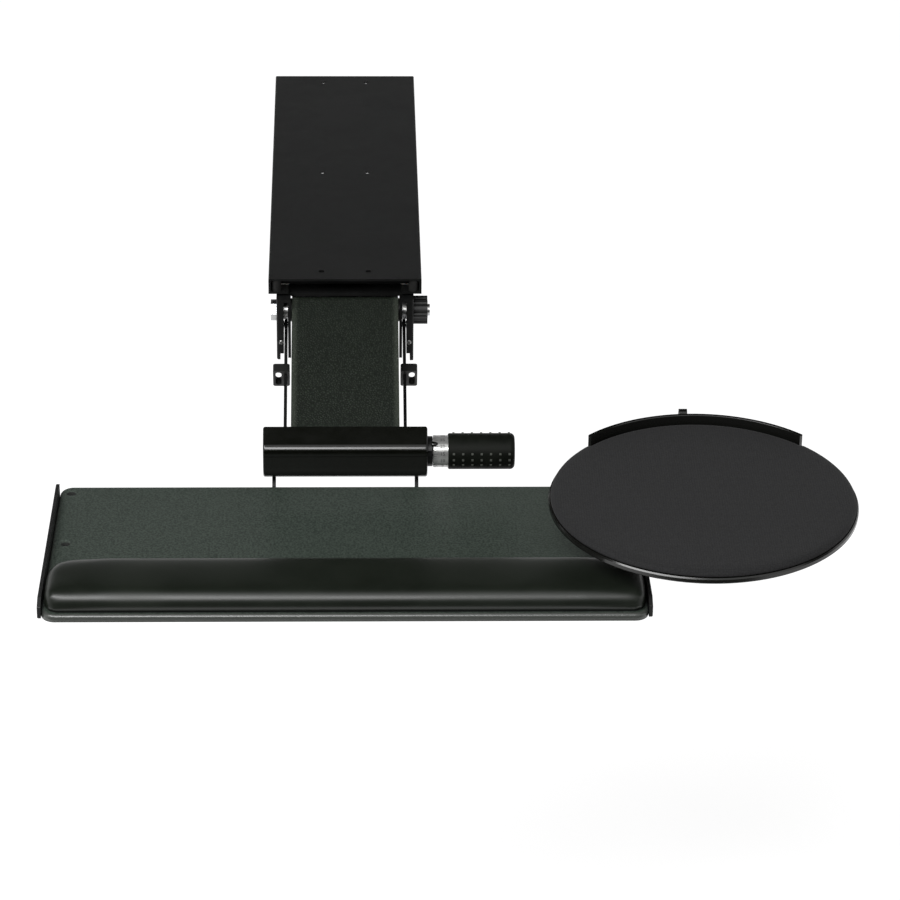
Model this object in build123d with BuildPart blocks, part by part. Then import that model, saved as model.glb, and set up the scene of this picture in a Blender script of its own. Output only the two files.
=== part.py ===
from build123d import *
import math
import os

# Driving dimensions, in millimetres and degrees.
# The origin lies on the track's top face, above the swivel axis. +X is the user's right, +Y runs back along it.

# Track and carriage
track_length = 432.0
track_front = -45.0
track_width = 130.0
track_height = 14.0
track_wall = 2.0
track_lip = 17.0
track_screw_radius = 2.5
track_screw_spacing = 40.0
track_screw_inset = 15.0
glide_gap = 0.3
glide_length = 30.0
glide_width = 16.0
carriage_length = 120.0
carriage_plate = 3.0
plate_setback = 4.0
stop_radius = 4.0
stop_gap = 0.5

# Swivel bracket under the carriage
bolt_radius = 5.0
spacer_radius = 20.0
spacer_height = 7.8
swivel_gap = 0.2
bracket_half = 58.3
bracket_steel = 3.0
bracket_rear = 28.0
cheek_front = -51.0
cheek_bottom = -74.5
flange_bottom = -67.8
flange_reach = 6.0
lip_depth = 18.0
lip_steel = 1.2
tab_bottom = -72.0
tab_depth = 5.5
tab_steel = 2.4

# Lift arm and its parallel links
pivot_y = -35.0
pivot_z = -34.1
arm_length = 150.0
arm_rest_angle = 25.0
arm_half = 45.2
arm_top = 12.5
arm_skirt = 10.0
cover_wall = 1.5
cover_gap = 0.2
cover_start = 16.0
channel_steel = 2.5
channel_web_start = 26.0
pivot_bolt_radius = 5.0
fit = 0.05
link_offset_y = 8.0
link_offset_z = -18.0
link_inner = 49.2
link_steel = 2.6
link_width = 10.0
link_pin_radius = 2.5
open_pin_gap = 0.25
clip_outer = 61.2
clip_inner = 47.0
clip_wall = 2.0
clip_length = 8.0
clip_tall = 20.7
clip_corner = 2.0
clip_from_head = 95.5
clip_loop_width = 5.2
clip_gap = 0.1

# Tilt head between the arm and the tray
head_half = 68.2
head_wall = 2.2
head_front = 18.0
head_edge_height = 11.2
head_edge_round = 9.0
head_peak_y = 0.3
head_peak_z = 23.2
head_drop = 20.0
frame_inner = 53.5
frame_steel = 2.5
frame_front = 14.8
barrel_radius = 8.0
barrel_bore = 5.7
arm_end_radius = 11.3
nut_radius = 5.5
nut_length = 14.0
nut_travel = 5.0
nut_pin_radius = 1.6
nut_pin_reach = 17.0
guide_reach = 8.0
guide_half = 25.0
tilt_limit = 15.0

# Tilt dial on the head's right side
shaft_radius = 3.0
ring_thickness = 4.3
ring_radius = 12.6
collar_length = 12.6
collar_radius = 13.35
grip_length = 55.4
grip_radius = 15.0
bump_radius = 1.7
bump_height = 0.7
bump_root = 2.5
bump_pitch = 7.7
bump_count = 7
bump_row_angle = 20.0
bump_first_angle = 161.0

# Board, side rails and palm rest
board_width = 480.0
board_depth = 209.0
board_steel = 6.0
board_setback = 10.0
board_drop = 27.0
board_corner = 11.0
board_taper = 3.8
board_edge_round = 3.5
rail_steel = 3.0
rail_height = 15.3
rail_rear_gap = 12.0
rail_front_gap = 5.0
pad_depth = 64.5
pad_height = 18.0
pad_base = 1.2
pad_base_inset = 3.0
pad_side_gap = 1.2
pad_front_gap = 1.6
pad_corner = 13.0
pad_rear_corner = 26.0
pad_end_round = 10.0
ear_inner = 58.0
ear_steel = 3.0
tilt_plate_depth = 84.0
mouse_hole_inset = 13.0
mouse_hole_rear = 11.0
mouse_hole_spacing = 83.5
mouse_hole_radius = 2.6

# Side support
mouse_rail_width = 25.0
mouse_rail_height = 11.5
mouse_rail_steel = 2.0
mouse_rail_length = 126.0
mouse_rail_rear_gap = 3.0
mouse_slot = 11.0
slide_length = 36.0
slide_gap = 0.3
outrigger_steel = 4.0
post_right = 29.0
post_back = 22.0
post_radius = 8.0
post_bore = 6.05
post_inner_radius = 6.0
sleeve_length = 30.3
mouse_arm_rise = 14.0
mouse_arm_steel = 3.0
mouse_arm_width = 24.0
disc_right = 32.6
disc_forward = 62.0
disc_radius = 125.0
disc_rise = 6.7
disc_plate = 5.0
disc_lip = 1.6
mouse_pad_height = 5.5
fence_height = 12.5
fence_wall = 3.2
fence_groove = 1.1
fence_angle = 45.0
clip_angle = 3.45
rear_clip_width = 7.0
hinge_rise = 6.8
hinge_radius = 3.0

# Places worked out from the driving dimensions
arm_cos = math.cos(math.radians(arm_rest_angle))
arm_sin = math.sin(math.radians(arm_rest_angle))
head_y = pivot_y - arm_length * arm_cos
head_z = pivot_z - arm_length * arm_sin
link_length = arm_length
board_top = head_z - board_drop
board_bottom = board_top - board_steel
board_rear = head_y - board_setback
board_front = board_rear - board_depth
board_half = board_width / 2
plate_top = -track_height / 2 + carriage_plate / 2
plate_bottom = plate_top - carriage_plate
bracket_top = plate_bottom - spacer_height - swivel_gap
cheek_inner = bracket_half - bracket_steel
channel_half = arm_half - cover_wall - cover_gap
channel_top = arm_top - cover_wall - cover_gap
mouse_hole_x = board_half - mouse_hole_inset
mouse_hole_y = board_rear - mouse_hole_rear
channel_x = mouse_hole_x
channel_rear = board_rear - mouse_rail_rear_gap
channel_z = board_bottom - mouse_rail_height
slide_center = channel_rear - mouse_rail_length / 2
outrigger_top = channel_z - slide_gap
post_x = channel_x + post_right
post_y = slide_center + post_back
post_top = outrigger_top + sleeve_length
mouse_arm_top = post_top + mouse_arm_rise
hinge_z = mouse_arm_top + hinge_rise
disc_x = post_x + disc_right
disc_y = post_y - disc_forward
disc_bottom = hinge_z + disc_rise

os.makedirs("parts", exist_ok=True)


def save(builder, name):
    """Name a finished piece and write its own file."""
    builder.part.label = name
    export_step(builder.part, f"parts/{name}.step")


def side_plane(x, y=0.0, z=0.0):
    """Upright plane facing right, with its own x along +Y and its own y along +Z."""
    return Plane(origin=(x, y, z), x_dir=(0, 1, 0), z_dir=(1, 0, 0))


def head_plane(x):
    """Side plane about the tilt axis."""
    return side_plane(x, head_y, head_z)


def arm_plane(x, y=head_y, z=head_z):
    """Side plane along the arm, from the tilt axis up to the lift axis."""
    return Plane(origin=(x, y, z), x_dir=(0, arm_cos, arm_sin), z_dir=(1, 0, 0))


# Track: a steel channel, open below, with lips that carry the carriage and six holes for wood screws.
track_rear = track_front + track_length
track_screw_y = [track_front + track_screw_inset, (track_front + track_rear) / 2, track_rear - track_screw_inset]
with BuildPart() as track:
    with BuildSketch(Plane.XZ.offset(-track_rear)):
        with Locations((0, -track_height / 2)):
            Rectangle(track_width, track_height)
            Rectangle(track_width - 2 * track_wall, track_height - 2 * track_wall, mode=Mode.SUBTRACT)
        with Locations((0, track_wall / 2 - track_height)):
            Rectangle(track_width - 2 * track_lip, track_wall, mode=Mode.SUBTRACT)
    extrude(amount=track_length)
    fillet(track.edges().filter_by(Axis.Y).group_by(Axis.Z)[-1], track_wall * 0.6)
    with Locations(*[(x * track_screw_spacing / 2, y, 0) for x in (-1, 1) for y in track_screw_y]):
        Hole(track_screw_radius)
save(track, "track")

# End stops: four rubber buffers in the channel's corners, at both ends.
stop_x = track_width / 2 - track_wall - stop_radius - 1
with BuildPart() as track_stops:
    with BuildSketch(Plane.XY.offset(-track_wall)):
        with Locations(*[(x * stop_x, y) for x in (-1, 1)
                         for y in (track_front + stop_radius, track_rear - stop_radius)]):
            Circle(stop_radius)
    extrude(amount=-(track_height - 2 * track_wall))
save(track_stops, "track_stops")

# Carriage: a steel plate between four nylon glides that ride on the track's lips.
glide_half = track_width / 2 - track_wall - glide_gap
glide_inset = 5.0
carriage_front = track_front + 2 * stop_radius + stop_gap
carriage_middle = carriage_front + carriage_length / 2
glide_reach = carriage_length / 2 - glide_length / 2 - glide_inset
plate_half = glide_half - plate_setback
with BuildPart() as carriage_plate_part:
    with BuildSketch(Plane.XY.offset(plate_bottom)):
        with Locations((0, carriage_middle)):
            RectangleRounded(2 * plate_half, carriage_length, 8)
        Circle(bolt_radius, mode=Mode.SUBTRACT)
        with Locations((0, carriage_middle + carriage_length / 4)):
            SlotOverall(40, 14, mode=Mode.SUBTRACT)
    extrude(amount=carriage_plate)
save(carriage_plate_part, "carriage_plate")

with BuildPart() as carriage_glides:
    glide_tall = track_height - 2 * track_wall - 2 * glide_gap
    for side in (-1, 1):
        for end in (-1, 1):
            with BuildSketch(Plane.XY.offset(glide_gap - track_height + track_wall)):
                with Locations((side * (glide_half - glide_width / 2), carriage_middle + end * glide_reach)):
                    RectangleRounded(glide_width, glide_length, 3)
            extrude(amount=glide_tall)
    with BuildSketch(Plane.XY.offset(plate_bottom)):
        with Locations((0, carriage_middle)):
            Rectangle(2 * plate_half, carriage_length)
    extrude(amount=carriage_plate, mode=Mode.SUBTRACT)
save(carriage_glides, "carriage_glides")

# Swivel: a low-headed bolt through the plate, an acetal spacer, washers and a lock nut under the bracket.
bolt_end = bracket_top - bracket_steel - 14
with BuildPart() as swivel_bolt:
    with BuildSketch(Plane.XY.offset(plate_top)):
        Circle(11)
    extrude(amount=2.4)
    chamfer(swivel_bolt.edges().group_by(Axis.Z)[-1], 0.8)
    with BuildSketch(Plane.XY.offset(plate_top)):
        Circle(bolt_radius)
    extrude(amount=bolt_end - plate_top)
    chamfer(swivel_bolt.edges().group_by(Axis.Z)[0], 0.8)
save(swivel_bolt, "swivel_bolt")

with BuildPart() as swivel_spacer:
    with BuildSketch(Plane.XY.offset(plate_bottom)):
        Circle(spacer_radius)
        Circle(bolt_radius + fit, mode=Mode.SUBTRACT)
    extrude(amount=-spacer_height)
    chamfer(swivel_spacer.edges().group_by(Axis.Z)[0].sort_by(SortBy.LENGTH)[-1], 1)
save(swivel_spacer, "swivel_spacer")

washer_top = bracket_top - bracket_steel - swivel_gap
with BuildPart() as swivel_washers:
    for place, radius in ((washer_top, 16), (washer_top - 1.6, 12)):
        with BuildSketch(Plane.XY.offset(place)):
            Circle(radius)
            Circle(bolt_radius + fit, mode=Mode.SUBTRACT)
        extrude(amount=-1.5)
save(swivel_washers, "swivel_washers")

with BuildPart() as swivel_nut:
    with BuildSketch(Plane.XY.offset(washer_top - 3.2)):
        RegularPolygon(9.8, 6)
        Circle(bolt_radius + fit, mode=Mode.SUBTRACT)
    extrude(amount=-8)
save(swivel_nut, "swivel_nut")

# Swivel bracket: a pressed steel saddle. Its cheeks hold the lift axis and end in a toe. Each front flange has
# a lip folded back beside the link, and a narrow tab hangs between the link and the arm.
tab_inner = arm_half + 1
lip_outer = bracket_half - flange_reach
link_y = pivot_y + link_offset_y
link_z = pivot_z + link_offset_z
with BuildPart() as swivel_bracket:
    with BuildSketch(Plane.XY.offset(bracket_top - bracket_steel)):
        with Locations((0, (bracket_rear + cheek_front) / 2)):
            Rectangle(2 * bracket_half, bracket_rear - cheek_front)
        with Locations((0, cheek_front)):
            Rectangle(2 * tab_inner, 26, mode=Mode.SUBTRACT)
        Circle(bolt_radius + fit, mode=Mode.SUBTRACT)
    extrude(amount=bracket_steel)
    for x in (-bracket_half, cheek_inner):
        with BuildSketch(side_plane(x)) as cheek:
            with BuildLine():
                Polyline((bracket_rear, bracket_top), (bracket_rear, bracket_top - 12),
                         (link_y + 12, link_z - 4), (link_y - 6, link_z - 14),
                         (cheek_front + 6, cheek_bottom), (cheek_front, cheek_bottom),
                         (cheek_front, bracket_top), close=True)
            make_face()
            fillet(cheek.vertices().group_by(Axis.Y)[0].sort_by(Axis.Z)[0], 2.5)
        extrude(amount=bracket_steel)
    for side in (-1, 1):
        with BuildSketch(Plane.XY.offset(flange_bottom)):
            with Locations((side * (bracket_half - flange_reach / 2), cheek_front + bracket_steel / 2)):
                Rectangle(flange_reach, bracket_steel)
        extrude(amount=bracket_top - flange_bottom)
    for x in (-lip_outer - lip_steel, lip_outer):
        with BuildSketch(side_plane(x)):
            with BuildLine():
                Polyline((cheek_front, bracket_top), (cheek_front + 5, bracket_top),
                         (cheek_front + 5, pivot_z - 11.5), (cheek_front + lip_depth, pivot_z - 11.5),
                         (cheek_front + lip_depth, flange_bottom + 10), (cheek_front + 6, flange_bottom),
                         (cheek_front, flange_bottom), close=True)
            make_face()
        extrude(amount=lip_steel)
    for x in (-tab_inner - tab_steel, tab_inner):
        with BuildSketch(side_plane(x)):
            with BuildLine():
                Polyline((cheek_front, bracket_top), (cheek_front + tab_depth, bracket_top),
                         (cheek_front + tab_depth, tab_bottom + 12), (cheek_front + 2, tab_bottom),
                         (cheek_front, tab_bottom), close=True)
            make_face()
        extrude(amount=tab_steel)
    for radius, y, z in ((pivot_bolt_radius + fit, pivot_y, pivot_z), (link_pin_radius, link_y, link_z)):
        with BuildSketch(side_plane(-bracket_half, y, z)):
            Circle(radius)
        extrude(amount=2 * bracket_half, mode=Mode.SUBTRACT)
    fillet(swivel_bracket.edges().filter_by(Axis.Z).group_by(Axis.Y)[0].group_by(Axis.X)[0], 1.5)
    fillet(swivel_bracket.edges().filter_by(Axis.Z).group_by(Axis.Y)[0].group_by(Axis.X)[-1], 1.5)
save(swivel_bracket, "swivel_bracket")

# Two small rivets on the bracket's front flanges.
rivet_x = bracket_half - flange_reach / 2 - 1
with BuildPart() as bracket_rivets:
    for side in (-1, 1):
        with BuildSketch(Plane.XZ.offset(-cheek_front)):
            with Locations((side * rivet_x, link_z - 5)):
                Circle(2.2)
        extrude(amount=1.2)
    chamfer(bracket_rivets.edges().group_by(Axis.Y)[0], 0.7)
save(bracket_rivets, "bracket_rivets")

# Lift axis: a long bolt through both cheeks, spacer tubes, fibre brake washers and a lobed tension nut.
with BuildPart() as pivot_bolt:
    with BuildSketch(side_plane(-bracket_half, pivot_y, pivot_z)):
        RegularPolygon(9, 6)
    extrude(amount=-5)
    with BuildSketch(side_plane(-bracket_half, pivot_y, pivot_z)):
        Circle(pivot_bolt_radius)
    extrude(amount=2 * bracket_half + 14)
save(pivot_bolt, "pivot_bolt")

with BuildPart() as pivot_spacers:
    for start, length in ((arm_half + 1.4, cheek_inner - arm_half - 1.4), (-cheek_inner, cheek_inner - arm_half - 1.4)):
        with BuildSketch(side_plane(start, pivot_y, pivot_z)):
            Circle(pivot_bolt_radius + 3)
            Circle(pivot_bolt_radius + fit, mode=Mode.SUBTRACT)
        extrude(amount=length)
save(pivot_spacers, "pivot_spacers")

with BuildPart() as brake_washers:
    for start in (arm_half + 0.2, -arm_half - 1.4):
        with BuildSketch(side_plane(start, pivot_y, pivot_z)):
            Circle(10)
            Circle(pivot_bolt_radius + fit, mode=Mode.SUBTRACT)
        extrude(amount=1.2)
save(brake_washers, "brake_washers")

with BuildPart() as tension_nut:
    with BuildSketch(side_plane(bracket_half, pivot_y, pivot_z)):
        Circle(9.5)
        with PolarLocations(9.5, 6):
            Circle(2.6)
        Circle(pivot_bolt_radius, mode=Mode.SUBTRACT)
    extrude(amount=12)
save(tension_nut, "tension_nut")

# Arm channel: folded steel, open below, with a cross tube at the lift axis and narrow noses at the tilt axis.
neck_top = arm_end_radius - 4.3
with BuildPart() as arm_channel:
    for x in (-channel_half, channel_half - channel_steel):
        with BuildSketch(arm_plane(x)):
            with BuildLine():
                Polyline((channel_web_start - 9, neck_top), (channel_web_start, channel_top),
                         (arm_length, channel_top), (arm_length, -channel_top + 2),
                         (channel_web_start, -channel_top + 2), (0, -neck_top), (0, neck_top), close=True)
            make_face()
            Circle(arm_end_radius)
            with Locations((arm_length, 0)):
                Circle(channel_top)
        extrude(amount=channel_steel)
    with BuildSketch(arm_plane(-channel_half)):
        with Locations(((channel_web_start + arm_length) / 2, channel_top - channel_steel / 2)):
            Rectangle(arm_length - channel_web_start, channel_steel)
        with Locations((arm_length, 0)):
            Circle(pivot_bolt_radius + 3.5)
    extrude(amount=2 * channel_half)
    with BuildSketch(arm_plane(-channel_half)):
        Circle(barrel_radius + fit)
        with Locations((arm_length, 0)):
            Circle(pivot_bolt_radius + fit)
    extrude(amount=2 * channel_half, mode=Mode.SUBTRACT)
save(arm_channel, "arm_channel")

# Arm cover: a thin grained moulding that wraps the channel's top, sides and upper end.
with BuildPart() as arm_cover:
    with BuildSketch(arm_plane(-arm_half)):
        with BuildLine():
            Polyline((cover_start, -arm_skirt + 4), (cover_start, arm_top), (arm_length, arm_top))
            RadiusArc((arm_length, arm_top), (arm_length + arm_top, 0), arm_top)
            Polyline((arm_length + arm_top, 0), (arm_length + arm_top - 2, -arm_skirt),
                     (cover_start + 10, -arm_skirt), (cover_start, -arm_skirt + 4))
        make_face()
    extrude(amount=2 * arm_half)
    fillet(arm_cover.edges().filter_by(GeomType.LINE).group_by(SortBy.LENGTH)[-1].filter_by(
        lambda e: abs(e.center().X) > arm_half - 1), 1.4)
    with BuildSketch(arm_plane(cover_wall - arm_half)):
        with BuildLine():
            Polyline((cover_start - 1, -arm_skirt - 1), (cover_start - 1, arm_top - cover_wall),
                     (arm_length, arm_top - cover_wall))
            RadiusArc((arm_length, arm_top - cover_wall), (arm_length + arm_top - cover_wall, 0),
                      arm_top - cover_wall)
            Polyline((arm_length + arm_top - cover_wall, 0),
                     (arm_length + arm_top - cover_wall - 2, -arm_skirt - 1),
                     (cover_start - 1, -arm_skirt - 1))
        make_face()
    extrude(amount=2 * (arm_half - cover_wall), mode=Mode.SUBTRACT)
    with BuildSketch(arm_plane(-arm_half)):
        with Locations((arm_length, 0)):
            Circle(pivot_bolt_radius + 1)
    extrude(amount=2 * arm_half, mode=Mode.SUBTRACT)
save(arm_cover, "arm_cover")

# Parallel links: one flat strap each side, under the arm's line, that keep the head level.
for name, x in (("left_link", -link_inner - link_steel), ("right_link", link_inner)):
    with BuildPart() as link:
        with BuildSketch(arm_plane(x, head_y + link_offset_y, head_z + link_offset_z)):
            with Locations((link_length / 2, 0)):
                SlotCenterToCenter(link_length, link_width)
            Circle(link_pin_radius + open_pin_gap, mode=Mode.SUBTRACT)
            with Locations((link_length, 0)):
                Circle(link_pin_radius + fit, mode=Mode.SUBTRACT)
        extrude(amount=link_steel)
    save(link, name)

# Link pins: shouldered rivets, the upper pair in the bracket's cheeks and the lower pair in the head's frame.
for name, y, z, outer in (("upper_link_pins", link_y, link_z, bracket_half),
                          ("lower_link_pins", head_y + link_offset_y, head_z + link_offset_z,
                           frame_inner + frame_steel)):
    wall = bracket_steel if outer == bracket_half else frame_steel
    with BuildPart() as link_pins:
        for side in (-1, 1):
            with BuildSketch(side_plane(side * outer, y, z)):
                Circle(link_pin_radius)
            extrude(amount=-side * (outer - link_inner + 0.3))
            with BuildSketch(side_plane(side * (link_inner - 0.3), y, z)):
                Circle(link_pin_radius + 1.2)
            extrude(amount=-side * 1.2)
            with BuildSketch(side_plane(side * (outer - wall), y, z)):
                Circle(link_pin_radius + 1)
            extrude(amount=-side * (outer - wall - link_inner - link_steel - 0.3))
    save(link_pins, name)

# Link clips: a sleeve that snaps round the link, with a round-ended loop on its outer side.
strap_room = link_steel + 2 * clip_gap
clip_y = head_y + link_offset_y + (clip_from_head - clip_length / 2) * arm_cos
clip_z = head_z + link_offset_z + (clip_from_head - clip_length / 2) * arm_sin
for name, side in (("left_clip", -1), ("right_clip", 1)):
    with BuildPart() as clip:
        with BuildSketch(Plane(origin=(0, clip_y, clip_z), x_dir=(1, 0, 0), z_dir=(0, arm_cos, arm_sin))):
            with Locations((side * (clip_outer + clip_inner) / 2, 0)):
                RectangleRounded(clip_outer - clip_inner, clip_tall, clip_corner)
            with Locations((side * (link_inner + link_steel / 2), 0)):
                Rectangle(strap_room, link_width + 2 * clip_gap, mode=Mode.SUBTRACT)
            with Locations((side * (clip_outer - clip_wall - clip_loop_width / 2), 0)):
                SlotOverall(clip_tall - 2 * clip_wall, clip_loop_width, rotation=90, mode=Mode.SUBTRACT)
        extrude(amount=clip_length)
    save(clip, name)

# Head frame: folded steel. Two side plates on the tilt axis, a front web and a tongue with the nut's guide slot.
frame_outer = frame_inner + frame_steel
web_half = 8.0
with BuildPart() as head_frame:
    for x in (-frame_outer, frame_inner):
        with BuildSketch(head_plane(x)):
            with BuildLine():
                Polyline((-frame_front, web_half), (6, 10), (11, 4), (14, -14), (12, -24), (3, -24),
                         (-1, -17), (-10, -12.5), (-frame_front, -web_half), close=True)
            make_face()
        extrude(amount=frame_steel)
    with BuildSketch(head_plane(-frame_outer)):
        with Locations((frame_steel / 2 - frame_front, 0)):
            Rectangle(frame_steel, 2 * web_half)
    extrude(amount=2 * frame_outer)
    with BuildSketch(head_plane(-guide_half)):
        with BuildLine():
            Polyline((-frame_front, 0), (-frame_front, -web_half), (-9.5, -frame_front), (guide_reach, -frame_front),
                     (guide_reach, frame_steel - frame_front), (-8, frame_steel - frame_front),
                     (frame_steel - frame_front, -web_half + 1), (frame_steel - frame_front, 0), close=True)
        make_face()
    extrude(amount=2 * guide_half)
    with BuildSketch(Plane(origin=(0, head_y, head_z - 2 * frame_front))):
        SlotCenterToCenter(2 * nut_travel + 0.6, 2 * nut_pin_radius + 0.6)
    extrude(amount=2 * frame_front - 6, mode=Mode.SUBTRACT)
    with BuildSketch(head_plane(-frame_outer)):
        Circle(barrel_radius + fit)
        with Locations((link_offset_y, link_offset_z)):
            Circle(link_pin_radius)
    extrude(amount=2 * frame_outer, mode=Mode.SUBTRACT)
save(head_frame, "head_frame")

# Head cover: a moulded hood, steep on top, with a round front edge, a shadow groove and a rounded chin.
chin_radius = 14.0
screw_x = 30.0
chin_y = chin_radius - head_front
chin_z = chin_radius - head_drop
with BuildPart() as head_cover:
    with BuildSketch(head_plane(-head_half)) as hood:
        with BuildLine():
            Polyline((head_peak_y + 10, -head_drop), (head_peak_y + 10, 10), (head_peak_y, head_peak_z),
                     (-head_front, head_edge_height), (-head_front, chin_z))
            TangentArc((-head_front, chin_z), (chin_y, -head_drop), tangent=(0, -1))
            Line((chin_y, -head_drop), (head_peak_y + 10, -head_drop))
        make_face()
    extrude(amount=2 * head_half)
    front_edge = head_cover.edges().filter_by(Axis.X).sort_by(
        lambda e: abs(e.center().Y - head_y + head_front) + abs(e.center().Z - head_z - head_edge_height))[0]
    fillet(front_edge, head_edge_round)
    end_faces = head_cover.faces().filter_by(Axis.X).sort_by(Axis.X)
    fillet((end_faces[0].edges() + end_faces[-1].edges()).filter_by(
        lambda e: e.center().Z > head_z + chin_z and e.center().Y < head_y + head_peak_y + 8), 1.8)
    with BuildSketch(head_plane(head_wall - head_half)):
        with BuildLine():
            Polyline((head_peak_y + 11, -head_drop - 1), (head_peak_y + 11, head_peak_z + 1),
                     (head_peak_y + 0.6, head_peak_z - head_wall),
                     (-head_front + head_wall, head_edge_height - head_wall), (-head_front + head_wall, chin_z))
            TangentArc((-head_front + head_wall, chin_z), (chin_y, head_wall - head_drop), tangent=(0, -1))
            Polyline((chin_y, head_wall - head_drop), (chin_y, -head_drop - 1), (head_peak_y + 11, -head_drop - 1))
        make_face()
    extrude(amount=2 * (head_half - head_wall), mode=Mode.SUBTRACT)
    with BuildSketch(Plane.XZ.offset(-(head_y - frame_front))):
        with Locations((-screw_x, head_z), (screw_x, head_z)):
            Circle(4)
    extrude(amount=head_front - frame_front)
    with BuildSketch(head_plane(head_half - 2 * head_wall)):
        Circle(shaft_radius + 1)
    extrude(amount=3 * head_wall, mode=Mode.SUBTRACT)
    with BuildSketch(head_plane(-head_half)):
        with Locations((-head_front, 4.7)):
            Rectangle(1.2, 0.9)
    extrude(amount=2 * head_half, mode=Mode.SUBTRACT)
save(head_cover, "head_cover")

with BuildPart() as cover_screws:
    for side in (-1, 1):
        with BuildSketch(Plane.XZ.offset(-(head_y - frame_front + frame_steel + 1.8))):
            with Locations((side * screw_x, head_z)):
                Circle(3.2)
        extrude(amount=1.8)
    chamfer(cover_screws.edges().group_by(Axis.Y)[-1], 0.8)
save(cover_screws, "cover_screws")

# Tilt gear: the dial turns the shaft, the shaft drives the nut along, and the nut's peg turns the slotted barrel.
slot_lean = math.degrees(math.atan2((barrel_radius + barrel_bore) / 2 * math.sin(math.radians(tilt_limit)), nut_travel))
slot_room = 0.55
with BuildPart() as tilt_barrel:
    with BuildSketch(head_plane(-ear_inner - ear_steel)):
        Circle(barrel_radius)
        Circle(barrel_bore, mode=Mode.SUBTRACT)
    extrude(amount=2 * (ear_inner + ear_steel))
    with BuildSketch(Plane(origin=(0, head_y, head_z - 2 * barrel_radius))):
        SlotCenterToCenter(2 * nut_travel / math.cos(math.radians(slot_lean)) + 0.6,
                           2 * (nut_pin_radius + slot_room), rotation=-slot_lean)
    extrude(amount=2 * barrel_radius, mode=Mode.SUBTRACT)
save(tilt_barrel, "tilt_barrel")

with BuildPart() as tilt_nut:
    with BuildSketch(head_plane(-nut_length / 2)):
        Circle(nut_radius)
        Circle(shaft_radius + fit, mode=Mode.SUBTRACT)
    extrude(amount=nut_length)
    with BuildSketch(Plane(origin=(0, head_y, head_z - nut_pin_reach))):
        Circle(nut_pin_radius)
    extrude(amount=nut_pin_reach - shaft_radius - 0.8)
save(tilt_nut, "tilt_nut")

bush_length = 8.0
with BuildPart() as shaft_bushes:
    for x in (-ear_inner, ear_inner - bush_length):
        with BuildSketch(head_plane(x)):
            Circle(barrel_bore)
            Circle(shaft_radius + fit, mode=Mode.SUBTRACT)
        extrude(amount=bush_length)
save(shaft_bushes, "shaft_bushes")

ring_start = head_half
collar_start = ring_start + ring_thickness + 0.3
grip_start = collar_start + collar_length
grip_end = grip_start + grip_length
with BuildPart() as dial_shaft:
    with BuildSketch(head_plane(-ear_inner + 2)):
        Circle(shaft_radius)
    extrude(amount=grip_end - 8 + ear_inner - 2)
    chamfer(dial_shaft.edges().group_by(Axis.X)[0], 0.6)
save(dial_shaft, "dial_shaft")

# Dial: a fixed ring with a pointer, a chromed collar for the scale, and a rubber grip with rows of bumps.
with BuildPart() as dial_ring:
    with BuildSketch(head_plane(ring_start)):
        Circle(ring_radius)
        with Locations((-ring_radius, 4.5)):
            Rectangle(4.4, 3.4)
        Circle(shaft_radius + 0.6, mode=Mode.SUBTRACT)
    extrude(amount=ring_thickness)
    chamfer(dial_ring.faces().sort_by(Axis.X)[-1].outer_wire().edges(), 0.5)
save(dial_ring, "dial_ring")

with BuildPart() as dial_collar:
    with BuildSketch(head_plane(collar_start)):
        Circle(collar_radius)
        Circle(shaft_radius, mode=Mode.SUBTRACT)
    extrude(amount=collar_length)
    chamfer(dial_collar.faces().sort_by(Axis.X)[0].outer_wire().edges(), 0.6)
save(dial_collar, "dial_collar")

bump_start = grip_start + (grip_length - (bump_count - 1) * bump_pitch) / 2
with BuildPart() as dial_grip:
    with BuildSketch(head_plane(grip_start)):
        Circle(grip_radius)
    extrude(amount=grip_length)
    fillet(dial_grip.faces().sort_by(Axis.X)[-1].edges(), 3.8)
    chamfer(dial_grip.faces().sort_by(Axis.X)[0].edges(), 0.8)
    for row in range(9):
        angle = math.radians(bump_first_angle + 120 * (row // 3) + bump_row_angle * (row % 3))
        for step in range(bump_count):
            spot = Plane(origin=(bump_start + step * bump_pitch, head_y, head_z),
                         z_dir=(0, math.cos(angle), math.sin(angle)))
            with BuildSketch(spot.offset(grip_radius - bump_root)):
                RegularPolygon(bump_radius, 4, rotation=45)
            extrude(amount=bump_root + bump_height, taper=6)
    with BuildSketch(head_plane(grip_start)):
        Circle(shaft_radius)
    extrude(amount=grip_length - 8, mode=Mode.SUBTRACT)
save(dial_grip, "dial_grip")

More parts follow.
